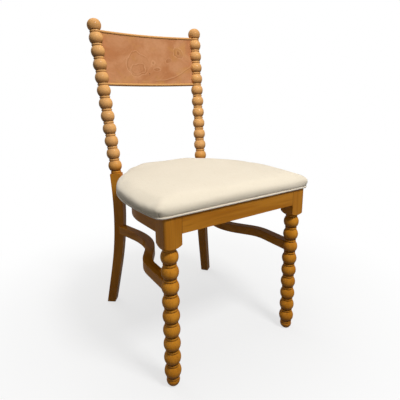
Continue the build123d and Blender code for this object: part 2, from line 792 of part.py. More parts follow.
pieces = {
    "left_front_leg": left_front_leg,
    "right_front_leg": right_front_leg,
    "left_back_post": left_back_post,
    "right_back_post": right_back_post,
    "back_panel": back_panel,
    "top_back_rail": top_back_rail,
    "lower_back_rail": lower_back_rail,
    "front_seat_rail": front_seat_rail,
    "left_seat_rail": left_seat_rail,
    "right_seat_rail": right_seat_rail,
    "rear_seat_rail": rear_seat_rail,
    "left_stretcher": left_stretcher,
    "right_stretcher": right_stretcher,
    "left_front_block": left_front_block,
    "right_front_block": right_front_block,
    "left_rear_block": left_rear_block,
    "right_rear_block": right_rear_block,
    "front_rail_dowels": front_rail_dowels,
    "side_rail_dowels": side_rail_dowels,
    "rear_rail_dowels": rear_rail_dowels,
    "post_bolts": post_bolts,
    "corner_block_screws": corner_block_screws,
    "seat_screws": seat_screws,
    "seat_cover": seat_cover,
    "seat_dust_cover": seat_dust_cover,
    "seat_board": seat_board,
    "seat_foam": seat_foam,
    "seat_piping": seat_piping,
}
for name, piece in pieces.items():
    piece.part.label = name
    export_step(piece.part, f"parts/{name}.step")
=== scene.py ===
import bpy
import bmesh
import math
from mathutils import Matrix, Vector


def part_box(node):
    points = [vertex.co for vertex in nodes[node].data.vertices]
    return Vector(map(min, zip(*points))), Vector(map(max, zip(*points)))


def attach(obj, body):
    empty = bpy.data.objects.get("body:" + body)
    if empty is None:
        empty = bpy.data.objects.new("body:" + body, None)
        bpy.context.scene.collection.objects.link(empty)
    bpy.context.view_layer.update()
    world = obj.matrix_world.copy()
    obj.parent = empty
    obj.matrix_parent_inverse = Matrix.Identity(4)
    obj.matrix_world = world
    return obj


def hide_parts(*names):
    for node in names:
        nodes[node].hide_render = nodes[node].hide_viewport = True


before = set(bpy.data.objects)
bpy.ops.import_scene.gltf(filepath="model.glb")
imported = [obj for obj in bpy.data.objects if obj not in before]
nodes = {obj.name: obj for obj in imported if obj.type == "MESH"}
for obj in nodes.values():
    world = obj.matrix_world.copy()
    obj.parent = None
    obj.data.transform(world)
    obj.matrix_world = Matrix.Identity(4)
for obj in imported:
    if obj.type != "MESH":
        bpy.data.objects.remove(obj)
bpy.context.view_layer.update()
scene = bpy.context.scene
scene.view_settings.view_transform = "Standard"
print("frame loaded:", len(nodes), "nodes")

# camera at the photograph's angle; metres and degrees
cameraSet = {
    "place": (-0.53909, -0.88758, 0.70674), "yaw": 33.42, "pitch": 13.755, "roll": -0.46,
    "sensor": 36, "lens": 31.63, "shift": (-0.0039, -0.0551), "nearClip": 0.01,
}


def addCamera(look):
    data = bpy.data.cameras.new("chairCamera")
    data.sensor_width = look["sensor"]
    data.lens = look["lens"]
    data.shift_x, data.shift_y = look["shift"]
    data.clip_start = look["nearClip"]
    yaw, pitch = math.radians(look["yaw"]), math.radians(look["pitch"])
    ahead = Vector((math.sin(yaw) * math.cos(pitch), math.cos(yaw) * math.cos(pitch), -math.sin(pitch)))
    right = Vector((math.cos(yaw), -math.sin(yaw), 0))
    up = right.cross(ahead)
    rolled = Matrix.Rotation(math.radians(look["roll"]), 3, "Z")
    turned = Matrix((right, up, -ahead)).transposed() @ rolled
    camera = bpy.data.objects.new("chairCamera", data)
    camera.matrix_world = Matrix.Translation(look["place"]) @ turned.to_4x4()
    scene.collection.objects.link(camera)
    scene.camera = camera


addCamera(cameraSet)
print("camera set")


def meshObject(name, bm, smooth=False):
    mesh = bpy.data.meshes.new(name)
    bm.to_mesh(mesh)
    bm.free()
    if smooth:
        mesh.polygons.foreach_set("use_smooth", [True] * len(mesh.polygons))
    piece = bpy.data.objects.new(name, mesh)
    scene.collection.objects.link(piece)
    return piece


def dress(piece, material):
    piece.data.materials.clear()
    piece.data.materials.append(material)


# node helpers: sockets or plain numbers go in, a socket comes out
def stain(red, green, blue):
    # screen colour from 0 to 255, made linear for the shader
    linear = [c / 255 / 12.92 if c < 10.3 else ((c / 255 + 0.055) / 1.055) ** 2.4 for c in (red, green, blue)]
    return (*linear, 1)


def feed(tree, socket, value):
    if isinstance(value, bpy.types.NodeSocket):
        tree.links.new(value, socket)
    else:
        socket.default_value = value


def sums(tree, operation, *values, clamp=False):
    node = tree.nodes.new("ShaderNodeMath")
    node.operation = operation
    node.use_clamp = clamp
    for i, value in enumerate(values):
        feed(tree, node.inputs[i], value)
    return node.outputs[0]


def plus(tree, first, second):
    return sums(tree, "ADD", first, second)


def minus(tree, first, second):
    return sums(tree, "SUBTRACT", first, second)


def times(tree, first, second):
    return sums(tree, "MULTIPLY", first, second)


def farness(tree, across, up):
    return sums(tree, "SQRT", plus(tree, times(tree, across, across), times(tree, up, up)))


def fade(tree, value, low, high, start=0.0, end=1.0):
    node = tree.nodes.new("ShaderNodeMapRange")
    node.interpolation_type = "SMOOTHSTEP"
    entries = {"Value": value, "From Min": low, "From Max": high, "To Min": start, "To Max": end}
    for name, entry in entries.items():
        feed(tree, node.inputs[name], entry)
    return node.outputs[0]


def blendColour(tree, share, first, second, mode="MIX"):
    node = tree.nodes.new("ShaderNodeMix")
    node.data_type = "RGBA"
    node.blend_type = mode
    for i, value in ((0, share), (6, first), (7, second)):  # share and the two colour sockets
        feed(tree, node.inputs[i], value)
    return node.outputs[2]


def objectPoint(tree, scale=(1, 1, 1), shift=(0, 0, 0)):
    place = tree.nodes.new("ShaderNodeTexCoord")
    mapping = tree.nodes.new("ShaderNodeMapping")
    mapping.inputs["Scale"].default_value = scale
    mapping.inputs["Location"].default_value = shift
    tree.links.new(place.outputs["Object"], mapping.inputs["Vector"])
    return mapping.outputs[0]


def cloud(tree, point, scale, detail=3.0, roughness=0.5, distortion=0.0):
    node = tree.nodes.new("ShaderNodeTexNoise")
    entries = {"Vector": point, "Scale": scale, "Detail": detail, "Roughness": roughness,
               "Distortion": distortion}
    for name, entry in entries.items():
        feed(tree, node.inputs[name], entry)
    return node.outputs[0]


def axes(tree, point):
    node = tree.nodes.new("ShaderNodeSeparateXYZ")
    tree.links.new(point, node.inputs[0])
    return node.outputs


def facing(tree):
    return axes(tree, tree.nodes.new("ShaderNodeNewGeometry").outputs["Normal"])


def relief(tree, shader, height, strength, depth):
    node = tree.nodes.new("ShaderNodeBump")
    node.inputs["Strength"].default_value = strength
    node.inputs["Distance"].default_value = depth
    tree.links.new(height, node.inputs["Height"])
    tree.links.new(node.outputs[0], shader.inputs["Normal"])


def newMaterial(name):
    material = bpy.data.materials.new(name)
    material.use_nodes = True
    tree = material.node_tree
    return material, tree, tree.nodes["Principled BSDF"]


# studio: pale floor, soft lamps, white seen behind the chair
lampSet = {
    "keyLamp": {"place": (0.2, -1.3, 2.15), "aim": (0, 0, 0.65), "size": 0.45, "power": 32.5},
    "topLamp": {"place": (0.0, 0.1, 2.3), "aim": (0, 0.05, 0.6), "size": 1.3, "power": 14},
    "fillLamp": {"place": (-2.2, -1.6, 1.3), "aim": (0, 0, 0.5), "size": 1.6, "power": 2.7},
    "backLamp": {"place": (-0.4, 2.3, 1.7), "aim": (0, 0, 0.6), "size": 1.4, "power": 14},
}
studioSet = {
    "floor": (0.88, 0.88, 0.875), "floorSize": 16.0, "roughness": 0.9, "shine": 0.1,
    "patchScale": 1.3, "patchSpan": (0.35, 0.65), "patchShade": 0.985,
    "bounce": 0.2, "shade": 0.3, "near": 0.3, "far": 0.95,
    "worldTint": (1, 0.985, 0.96), "worldGrey": 0.108,
}


def seenRay(tree):
    path = tree.nodes.new("ShaderNodeLightPath")
    mirrored = sums(tree, "MAXIMUM", path.outputs["Is Glossy Ray"], path.outputs["Is Transmission Ray"])
    return sums(tree, "MAXIMUM", path.outputs["Is Camera Ray"], mirrored)


def floorMaterial(look):
    # pale sweep: shadows near the chair, plain white further out where the camera sees it
    material, tree, shader = newMaterial("paleFloor")
    point = objectPoint(tree)
    patch = fade(tree, cloud(tree, point, look["patchScale"]), *look["patchSpan"])
    shaded = [c * look["patchShade"] for c in look["floor"]]
    tone = blendColour(tree, patch, (*look["floor"], 1), (*shaded, 1))
    seen = seenRay(tree)
    tone = blendColour(tree, seen, (*[look["bounce"]] * 3, 1), tone)
    tree.links.new(tone, shader.inputs["Base Color"])
    shader.inputs["Roughness"].default_value = look["roughness"]
    shader.inputs["Specular IOR Level"].default_value = look["shine"]
    across, along = axes(tree, point)[:2]
    pale = fade(tree, farness(tree, across, along), look["near"], look["far"], 1 - look["shade"], 1)
    white = tree.nodes.new("ShaderNodeEmission")
    both = tree.nodes.new("ShaderNodeMixShader")
    tree.links.new(times(tree, pale, seen), both.inputs[0])
    tree.links.new(shader.outputs[0], both.inputs[1])
    tree.links.new(white.outputs[0], both.inputs[2])
    tree.links.new(both.outputs[0], tree.nodes["Material Output"].inputs["Surface"])
    return material


def addStudio(look):
    bm = bmesh.new()
    bmesh.ops.create_grid(bm, x_segments=1, y_segments=1, size=look["floorSize"])
    floor = meshObject("studioFloor", bm)
    dress(floor, floorMaterial(look))
    world = bpy.data.worlds.new("studioWorld")
    scene.world = world
    world.use_nodes = True
    tree = world.node_tree
    tree.nodes.clear()
    grey = tree.nodes.new("ShaderNodeBackground")
    grey.inputs["Color"].default_value = (*look["worldTint"], 1)
    grey.inputs["Strength"].default_value = look["worldGrey"]
    white = tree.nodes.new("ShaderNodeBackground")
    white.inputs["Color"].default_value = (1, 1, 1, 1)
    both = tree.nodes.new("ShaderNodeMixShader")
    out = tree.nodes.new("ShaderNodeOutputWorld")
    tree.links.new(seenRay(tree), both.inputs[0])
    tree.links.new(grey.outputs[0], both.inputs[1])
    tree.links.new(white.outputs[0], both.inputs[2])
    tree.links.new(both.outputs[0], out.inputs[0])


def addLamp(name, look):
    data = bpy.data.lights.new(name, "AREA")
    data.size = look["size"]
    data.energy = look["power"]
    lamp = bpy.data.objects.new(name, data)
    lamp.location = look["place"]
    lamp.rotation_euler = (Vector(look["aim"]) - lamp.location).to_track_quat("-Z", "Y").to_euler()
    scene.collection.objects.link(lamp)


addStudio(studioSet)
for lampName, lampLook in lampSet.items():
    addLamp(lampName, lampLook)
print("studio set")

# honey-stained wood: figure, fibres and pores run along the grain; the quirks get painted shade
woodSet = {
    # the pore colour is also the painted shade under the balls and under the back rails
    "light": (212, 140, 40), "mid": (189, 117, 24), "dark": (148, 85, 14), "poreAndShade": (98, 52, 8),
    "stretch": 9, "fibreStretch": 1.6, "poreStretch": 1.25, "figureShift": (0.3, 0.1, 0.7),
    "figureNoise": {"scale": 3.2, "detail": 4, "roughness": 0.55, "distortion": 0.8},
    "fibreNoise": {"scale": 9, "detail": 3, "roughness": 0.6},
    "poreNoise": {"scale": 48, "detail": 2, "roughness": 0.5},
    "figureSpan": (0.32, 0.68), "fibreSpan": (0.5, 0.78), "fibreShare": 0.55,
    "poreSpan": (0.66, 0.74), "poreShare": 0.35,
    "fibreLift": 0.6, "poreLift": -0.4, "relief": (0.12, 0.0006),
    # painted shade colour for the quirks and rail joints, share of painted shade under the balls, and lift of
    # the painted highlight on ball tops and collars
    "quirk": (66, 32, 8), "quirkShare": 0.48, "underShadeShare": 0.6, "highlightLift": (1.18, 1.21, 1.23),
    # painted light: paler colour and where it starts on the upper parts
    "pale": (224, 177, 122), "paintedLightFrom": 0.45, "paintedLightTo": 0.52, "paintedLightShare": 0.57,
    "dullSpan": (0.3, 0.7), "roughness": (0.45, 0.57), "coat": 0.14, "coatRoughness": 0.15,
}


def lacquer(shader, look):
    # thin worn lacquer: the shine is in the coat, the wood below is dull
    shader.inputs["Specular IOR Level"].default_value = 0
    shader.inputs["Coat Weight"].default_value = look["coat"]
    shader.inputs["Coat Roughness"].default_value = look["coatRoughness"]


def turnedTone(tree, tone, look, rings, place):
    # run goes up the turning from its lowest collar, on both sides of the chair
    x, y, z = place
    foot, way = rings["foot"], rings["way"]
    side = minus(tree, sums(tree, "ABSOLUTE", x), foot[0])
    run = plus(tree, times(tree, side, way[0]), times(tree, minus(tree, y, foot[1]), way[1]))
    run = plus(tree, run, times(tree, minus(tree, z, foot[2]), way[2]))
    ring = sums(tree, "PINGPONG", run, rings["pitch"] / 2)  # from the nearest collar
    rise = sums(tree, "FLOORED_MODULO", run, rings["pitch"])  # from the collar below, up the ball
    low, high = rings["span"]
    inside = times(tree, fade(tree, run, low - rings["ends"], low),
                   fade(tree, run, high, high + rings["ends"], 1, 0))
    neck = rings["collar"] / 2
    edge = neck - rings["edge"]
    # painted shade on the underside of each ball
    underShade = times(tree, fade(tree, rise, edge, neck),
                  fade(tree, rise, neck, neck + rings["underShadeReach"], look["underShadeShare"], 0))
    tone = blendColour(tree, times(tree, underShade, inside), tone, stain(*look["poreAndShade"]))
    # painted light and highlight on the tops of the balls and on the collars
    paintedHighlight = sums(tree, "MAXIMUM", fade(tree, rise, rings["underShadeReach"], rings["belly"]),
                fade(tree, ring, edge, neck, 1, 0))
    tone = blendColour(tree, times(tree, paintedHighlight, inside), tone, (*look["highlightLift"], 1), "MULTIPLY")
    # painted shade in the quirks on both sides of each collar
    groove = sums(tree, "ABSOLUTE", minus(tree, ring, neck))
    quirk = fade(tree, groove, rings["line"], rings["soft"], look["quirkShare"], 0)
    return blendColour(tree, times(tree, quirk, inside), tone, stain(*look["quirk"]))


def woodMaterial(name, look, grain, rings=None, jointShadow=None, downShade=None):
    material, tree, shader = newMaterial(name)
    along = tuple(1 if axis == grain else look["stretch"] for axis in "XYZ")
    fibreAlong = tuple(c ** look["fibreStretch"] for c in along)
    poreAlong = tuple(c ** look["poreStretch"] for c in along)
    figure = cloud(tree, objectPoint(tree, along, look["figureShift"]), **look["figureNoise"])
    fibre = cloud(tree, objectPoint(tree, fibreAlong), **look["fibreNoise"])
    pores = cloud(tree, objectPoint(tree, poreAlong), **look["poreNoise"])
    figured = fade(tree, figure, *look["figureSpan"])
    streaked = fade(tree, fibre, *look["fibreSpan"], 0, look["fibreShare"])
    pored = fade(tree, pores, *look["poreSpan"], 0, look["poreShare"])
    tone = blendColour(tree, figured, stain(*look["light"]), stain(*look["mid"]))
    tone = blendColour(tree, streaked, tone, stain(*look["dark"]))
    tone = blendColour(tree, pored, tone, stain(*look["poreAndShade"]))
    place = axes(tree, objectPoint(tree))
    upperPaintedLight = fade(tree, place[2], look["paintedLightFrom"], look["paintedLightTo"], 0, look["paintedLightShare"])
    tone = blendColour(tree, upperPaintedLight, tone, stain(*look["pale"]))  # painted light: the upper parts of the chair are paler
    if downShade:
        # painted shade where the surface faces down
        mask = fade(tree, facing(tree)[2], downShade["full"], downShade["none"], downShade["share"], 0)
        tone = blendColour(tree, mask, tone, stain(*look["poreAndShade"]))
    if jointShadow:
        # painted shadow line where the rail meets the block
        start = jointShadow["at"] - jointShadow["width"]
        mask = fade(tree, sums(tree, "ABSOLUTE", place[0]), start, jointShadow["at"], 0, jointShadow["share"])
        tone = blendColour(tree, mask, tone, stain(*look["quirk"]))
    if rings:
        tone = turnedTone(tree, tone, look, rings, place)
    tree.links.new(tone, shader.inputs["Base Color"])
    tree.links.new(fade(tree, fibre, *look["dullSpan"], *look["roughness"]), shader.inputs["Roughness"])
    lacquer(shader, look)
    height = plus(tree, times(tree, fibre, look["fibreLift"]), times(tree, pores, look["poreLift"]))
    relief(tree, shader, height, *look["relief"])
    return material


# burl veneer: cloudy patches, and pale veins of figure, each with a painted shade on one side that makes it
# look raised; places are x and z
burlSet = {
    "base": (204, 146, 103), "warm": (187, 124, 80), "gold": (203, 147, 86), "line": (228, 176, 132),
    "shade": (154, 96, 56), "eye": (92, 50, 30), "roughness": 0.5, "coat": 0.1, "coatRoughness": 0.35,
    "noises": {
        "sway": {"scale": 17, "shift": (0.83, 0.4, 0.37), "detail": 1.6, "distortion": 0.3},
        "lift": {"scale": 17, "shift": (0.14, 0.7, 0.61), "detail": 1.6, "distortion": 0.3},
        "curl": {"scale": 62, "shift": (0.5, 0.2, 0.1), "detail": 2},
        "patch": {"scale": 11, "shift": (0.2, 0, 0.9), "detail": 4, "roughness": 0.6, "distortion": 0.7},
        "gold": {"scale": 15, "shift": (0.55, 0, 0.2), "stretch": (1, 0.2, 1.3), "detail": 3,
                 "roughness": 0.55, "distortion": 0.5},
        "fine": {"scale": 120, "stretch": (1, 0.3, 1), "detail": 4, "roughness": 0.65},
        "clear": {"scale": 26, "shift": (0.4, 0.1, 0.3), "detail": 2},
    },
    "patchSpan": (0.36, 0.66), "goldSpan": (0.5, 0.7), "goldShare": 0.6, "fineSpan": (0.5, 0.75),
    "fineShare": 0.2, "clearSpan": (0.36, 0.52), "clearLow": 0.15, "relief": (0.06, 0.0004),
    "knots": [
        {"at": (-0.040, 0.7975), "stretch": (1.16, 0.8), "radius": 0.042, "warp": 0.05,
         "vein": 0.0022, "heart": 0.1},
        {"at": (-0.044, 0.784), "stretch": (1.5, 0.6), "radius": 0.022, "warp": 0.045,
         "vein": 0.0018, "heart": 0.0},
        {"at": (0.013, 0.805), "stretch": (1.0, 1.0), "radius": 0.005, "warp": 0.012,
         "vein": 0.0045, "heart": 0.0},
        {"at": (0.028, 0.781), "stretch": (1.3, 0.75), "radius": 0.0085, "warp": 0.008,
         "vein": 0.0016, "heart": 0.2},
        {"at": (0.0725, 0.8095), "stretch": (1.15, 0.85), "radius": 0.0115, "warp": 0.012,
         "vein": 0.0016, "heart": 0.3},
        {"at": (0.1065, 0.838), "stretch": (0.95, 1.1), "radius": 0.018, "warp": 0.024,
         "vein": 0.0016, "heart": 0.3},
        {"at": (0.1065, 0.840), "stretch": (1.0, 1.0), "radius": 0.006, "warp": 0.012,
         "vein": 0.0012, "heart": 0.5},
    ],
    "heartInner": 0.2, "curl": 0.016,
    "wave": {"from": 0.03, "height": 0.747, "curve": 3.2, "warp": 0.02, "vein": 0.0018},
    "pin": {"at": (-0.003, 0.7675), "radius": 0.0024, "inner": 0.4, "share": 0.8},
    "veinPaintedShade": {"off": 1.9, "reach": 2.2, "share": 0.34}, "veinLine": {"reach": 1.3, "share": 0.38},
}


def burlNoise(tree, scale, stretch=(1, 0.2, 1), shift=(0, 0, 0), **rest):
    return cloud(tree, objectPoint(tree, stretch, shift), scale, **rest)


def warped(tree, value, noise, strength):
    return plus(tree, value, times(tree, minus(tree, noise, 0.5), strength))  # the noise's mean is 0.5


def veinTone(tree, tone, off, look, width, clear):
    # off is the distance from the vein's line, clear fades it in and out
    shade, line = look["veinPaintedShade"], look["veinLine"]
    # painted shade on one side of the vein makes it look raised; the pale line itself is figure
    beside = sums(tree, "ABSOLUTE", plus(tree, off, shade["off"] * width))
    deep = times(tree, fade(tree, beside, 0, shade["reach"] * width, shade["share"], 0), clear)
    onLine = sums(tree, "ABSOLUTE", off)
    pale = times(tree, fade(tree, onLine, 0, line["reach"] * width, line["share"], 0), clear)
    tone = blendColour(tree, deep, tone, stain(*look["shade"]))
    return blendColour(tree, pale, tone, stain(*look["line"]))


def knotTone(tree, tone, look, knot, place, noise, clear):
    across = warped(tree, minus(tree, place[0], knot["at"][0]), noise["sway"], knot["warp"])
    rise = warped(tree, minus(tree, place[2], knot["at"][1]), noise["lift"], knot["warp"])
    across = sums(tree, "DIVIDE", across, knot["stretch"][0])
    rise = sums(tree, "DIVIDE", rise, knot["stretch"][1])
    reach = warped(tree, farness(tree, across, rise), noise["curl"], look["curl"])
    heart = fade(tree, reach, knot["radius"] * look["heartInner"], knot["radius"], knot["heart"], 0)
    tone = blendColour(tree, heart, tone, stain(*look["shade"]))
    return veinTone(tree, tone, minus(tree, reach, knot["radius"]), look, knot["vein"], clear)


def waveTone(tree, tone, look, place, noise):
    # one long vein that climbs to the right
    wave = look["wave"]
    past = sums(tree, "MAXIMUM", minus(tree, place[0], wave["from"]), 0.0)
    bend = plus(tree, times(tree, times(tree, past, past), wave["curve"]), wave["height"])
    bend = warped(tree, bend, noise["sway"], wave["warp"])
    clear = fade(tree, place[0], 0, wave["from"])
    return veinTone(tree, tone, minus(tree, place[2], bend), look, wave["vein"], clear)


def burlMaterial(name, look):
    material, tree, shader = newMaterial(name)
    place = axes(tree, objectPoint(tree))
    noise = {key: burlNoise(tree, **entry) for key, entry in look["noises"].items()}
    clear = fade(tree, noise["clear"], *look["clearSpan"], look["clearLow"], 1)
    patched = fade(tree, noise["patch"], *look["patchSpan"])
    golden = fade(tree, noise["gold"], *look["goldSpan"], 0, look["goldShare"])
    tone = blendColour(tree, patched, stain(*look["base"]), stain(*look["warm"]))
    tone = blendColour(tree, golden, tone, stain(*look["gold"]))
    for knot in look["knots"]:
        tone = knotTone(tree, tone, look, knot, place, noise, clear)
    tone = waveTone(tree, tone, look, place, noise)
    pin = look["pin"]
    spot = farness(tree, minus(tree, place[0], pin["at"][0]), minus(tree, place[2], pin["at"][1]))
    pinned = fade(tree, spot, pin["radius"] * pin["inner"], pin["radius"], pin["share"], 0)
    tone = blendColour(tree, pinned, tone, stain(*look["eye"]))
    flecked = fade(tree, noise["fine"], *look["fineSpan"], 0, look["fineShare"])
    tone = blendColour(tree, flecked, tone, stain(*look["shade"]))
    tree.links.new(tone, shader.inputs["Base Color"])
    shader.inputs["Roughness"].default_value = look["roughness"]
    lacquer(shader, look)
    relief(tree, shader, noise["fine"], *look["relief"])
    return material


# plain raw wood for the blocks and dowels, steel for the fasteners
rawSet = {
    "light": (196, 160, 112), "dark": (160, 122, 78), "span": (0.35, 0.7), "stretch": (2, 12, 12),
    "noise": {"scale": 8, "detail": 4, "roughness": 0.6, "distortion": 0.4},
    "roughness": 0.72, "relief": (0.25, 0.0008),
}
steelSet = {
    "light": (176, 174, 168), "dark": (120, 118, 114), "span": (0.3, 0.7), "stretch": (1, 1, 9),
    "noise": {"scale": 160, "detail": 2, "roughness": 0.5}, "roughness": (0.28, 0.44),
}


def streakedTone(tree, shader, look):
    streaks = cloud(tree, objectPoint(tree, look["stretch"]), **look["noise"])
    tone = blendColour(tree, fade(tree, streaks, *look["span"]), stain(*look["light"]), stain(*look["dark"]))
    tree.links.new(tone, shader.inputs["Base Color"])
    return streaks


def rawWoodMaterial(name, look):
    material, tree, shader = newMaterial(name)
    fibre = streakedTone(tree, shader, look)
    shader.inputs["Roughness"].default_value = look["roughness"]
    relief(tree, shader, fibre, *look["relief"])
    return material


def steelMaterial(name, look):
    material, tree, shader = newMaterial(name)
    brush = streakedTone(tree, shader, look)
    shader.inputs["Metallic"].default_value = 1
    tree.links.new(fade(tree, brush, *look["span"], *look["roughness"]), shader.inputs["Roughness"])
    return material


# turning of the legs and posts, measured along each turning from its lowest collar
legLow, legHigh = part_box("left_front_leg")
postLean = {"out": 2.14, "back": 7.8}  # degrees from upright
postWay = Vector([math.tan(math.radians(postLean[key])) for key in ("out", "back")] + [1]).normalized()
# painted shade reaches up under each ball this far, and the painted highlight starts there
turningSet = {"collar": 0.0065, "edge": 0.0006, "line": 0.0003, "soft": 0.0013, "underShadeReach": 0.0125,
              "belly": 0.0215, "ends": 0.002}
legRings = turningSet | {
    "foot": ((-legLow[0] - legHigh[0]) / 2, (legLow[1] + legHigh[1]) / 2, 0.022), "way": (0, 0, 1),
    "pitch": 0.038, "span": (-0.0045, 0.347),
}
postRings = turningSet | {
    "foot": (0.1622, 0.1806, 0.461), "way": tuple(postWay), "pitch": 0.0391, "span": (-0.0045, 0.4350),
}
# painted shadow line at the rail ends, where they meet the blocks
railJointShadow = {"at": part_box("front_seat_rail")[1][0], "width": 0.0018, "share": 0.6}
railDownShade = {"full": -0.5, "none": 0.2, "share": 0.7}  # painted shade where the moulding faces down
# more painted light on the back rails
backRailSet = woodSet | {"paintedLightShare": 0.6}
finishes = {
    woodMaterial("legWood", woodSet, "Z", rings=legRings): ["left_front_leg", "right_front_leg"],
    woodMaterial("postWood", woodSet, "Z", rings=postRings): ["left_back_post", "right_back_post"],
    woodMaterial("crossWood", woodSet, "X", jointShadow=railJointShadow): ["front_seat_rail", "rear_seat_rail"],
    woodMaterial("backRailWood", backRailSet, "X", downShade=railDownShade): ["top_back_rail", "lower_back_rail"],
    woodMaterial("sideWood", woodSet, "Y"): ["left_seat_rail", "right_seat_rail", "left_stretcher",
                                             "right_stretcher"],
    burlMaterial("burlVeneer", burlSet): ["back_panel"],
    rawWoodMaterial("rawWood", rawSet): ["left_front_block", "right_front_block", "left_rear_block",
                                         "right_rear_block", "front_rail_dowels", "side_rail_dowels",
                                         "rear_rail_dowels", "seat_board"],
    steelMaterial("fastenerSteel", steelSet): ["post_bolts", "corner_block_screws", "seat_screws"],
}
for finish, nodeNames in finishes.items():
    for nodeName in nodeNames:
        dress(nodes[nodeName], finish)
print("wood, burl, raw wood and steel assigned")

# woven cloth: threads on all three axes, so that tops and sides both show warp and weft
weaveSet = {
    "wanderNoise": {"scale": 260, "detail": 2}, "wander": 2.5, "edgeOn": (0.45, 0.9),
    "threadSpan": (-2, 2), "threadShare": 0.42,
    "slubStretch": (1, 0.25, 1), "slubNoise": {"scale": 210, "detail": 3, "roughness": 0.6},
    "slubSpan": (0.5, 0.8), "slubShare": 0.3,
    "mottleNoise": {"scale": 14, "detail": 3}, "mottleSpan": (0.4, 0.7), "mottleShare": 0.09,
    "roughness": 0.92, "sheenRoughness": 0.5, "shine": 0.25, "bumpDepth": 0.0004,
}
# the crease colour is painted shade in the corner darts
seatClothSet = weaveSet | {"tone": (238, 227, 206), "deep": (220, 206, 181), "creaseShade": (96, 84, 70),
                           "pitch": 0.0011, "bump": 0.22, "sheen": 0.25}
pipingClothSet = weaveSet | {"tone": (242, 232, 214), "deep": (224, 211, 190), "pitch": 0.0009,
                             "bump": 0.22, "sheen": 0.25}
dustClothSet = weaveSet | {"tone": (34, 33, 32), "deep": (20, 20, 20), "pitch": 0.0016,
                           "bump": 0.3, "sheen": 0.1}


def wovenThreads(tree, look):
    wander = times(tree, cloud(tree, objectPoint(tree), **look["wanderNoise"]), look["wander"])
    weave = 0.0
    for way, lean in zip(axes(tree, objectPoint(tree)), facing(tree)):
        turn = plus(tree, times(tree, way, 2 * math.pi / look["pitch"]), wander)
        flat = minus(tree, 1.0, fade(tree, sums(tree, "ABSOLUTE", lean), *look["edgeOn"]))
        weave = plus(tree, weave, times(tree, sums(tree, "SINE", turn), flat))
    return weave


def creaseTone(tree, tone, look, dart):
    # painted shade line in the dart at each front corner
    x, y, z = axes(tree, objectPoint(tree))
    side = minus(tree, sums(tree, "ABSOLUTE", x), dart["tip"].x)
    back = minus(tree, y, dart["tip"].y)
    across = sums(tree, "ABSOLUTE", plus(tree, side, back))
    mask = times(tree, fade(tree, across, *dart["line"], dart["share"], 0),
                 fade(tree, z, dart["low"], dart["high"], 1, 0))
    near, far = [dart["tip"].y + reach for reach in dart["back"]]
    mask = times(tree, mask, fade(tree, y, near, far, 1, 0))
    return blendColour(tree, mask, tone, stain(*look["creaseShade"]))


def clothMaterial(name, look, dart=None):
    material, tree, shader = newMaterial(name)
    weave = wovenThreads(tree, look)
    slub = cloud(tree, objectPoint(tree, look["slubStretch"]), **look["slubNoise"])
    mottle = cloud(tree, objectPoint(tree), **look["mottleNoise"])
    share = plus(tree, fade(tree, weave, *look["threadSpan"], look["threadShare"], 0),
                 fade(tree, slub, *look["slubSpan"], 0, look["slubShare"]))
    clouded = fade(tree, mottle, *look["mottleSpan"], 0, look["mottleShare"])
    share = sums(tree, "ADD", share, clouded, clamp=True)
    tone = blendColour(tree, share, stain(*look["tone"]), stain(*look["deep"]))
    if dart:
        tone = creaseTone(tree, tone, look, dart)
    tree.links.new(tone, shader.inputs["Base Color"])
    shader.inputs["Roughness"].default_value = look["roughness"]
    shader.inputs["Sheen Weight"].default_value = look["sheen"]
    shader.inputs["Sheen Roughness"].default_value = look["sheenRoughness"]
    shader.inputs["Specular IOR Level"].default_value = look["shine"]
    relief(tree, shader, weave, look["bump"], look["bumpDepth"])
    return material


# seat plan, from the front left corner clockwise round the chair; metres and degrees
pipingLow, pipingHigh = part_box("seat_piping")
pipingRadius = (pipingHigh[2] - pipingLow[2]) / 2
frontY = pipingLow[1] + pipingRadius
planSet = {
    "halfWidth": pipingHigh[0] - pipingRadius, "frontY": frontY, "rearY": pipingHigh[1] - pipingRadius,
    "widestY": frontY + 0.152, "crownY": frontY + 0.2191, "frameTop": pipingLow[2],
    "cornerRadius": 0.02, "frontSideRadius": 0.78, "sideRadius": 0.31, "rearTurn": 36.0, "rearRadius": 0.09,
    "diagonal": 0.707, "merge": 0.00005,
    "steps": {"corner": 10, "frontSide": 16, "side": 22, "slant": 8, "rearCorner": 10, "rear": 14,
              "front": 34},
}


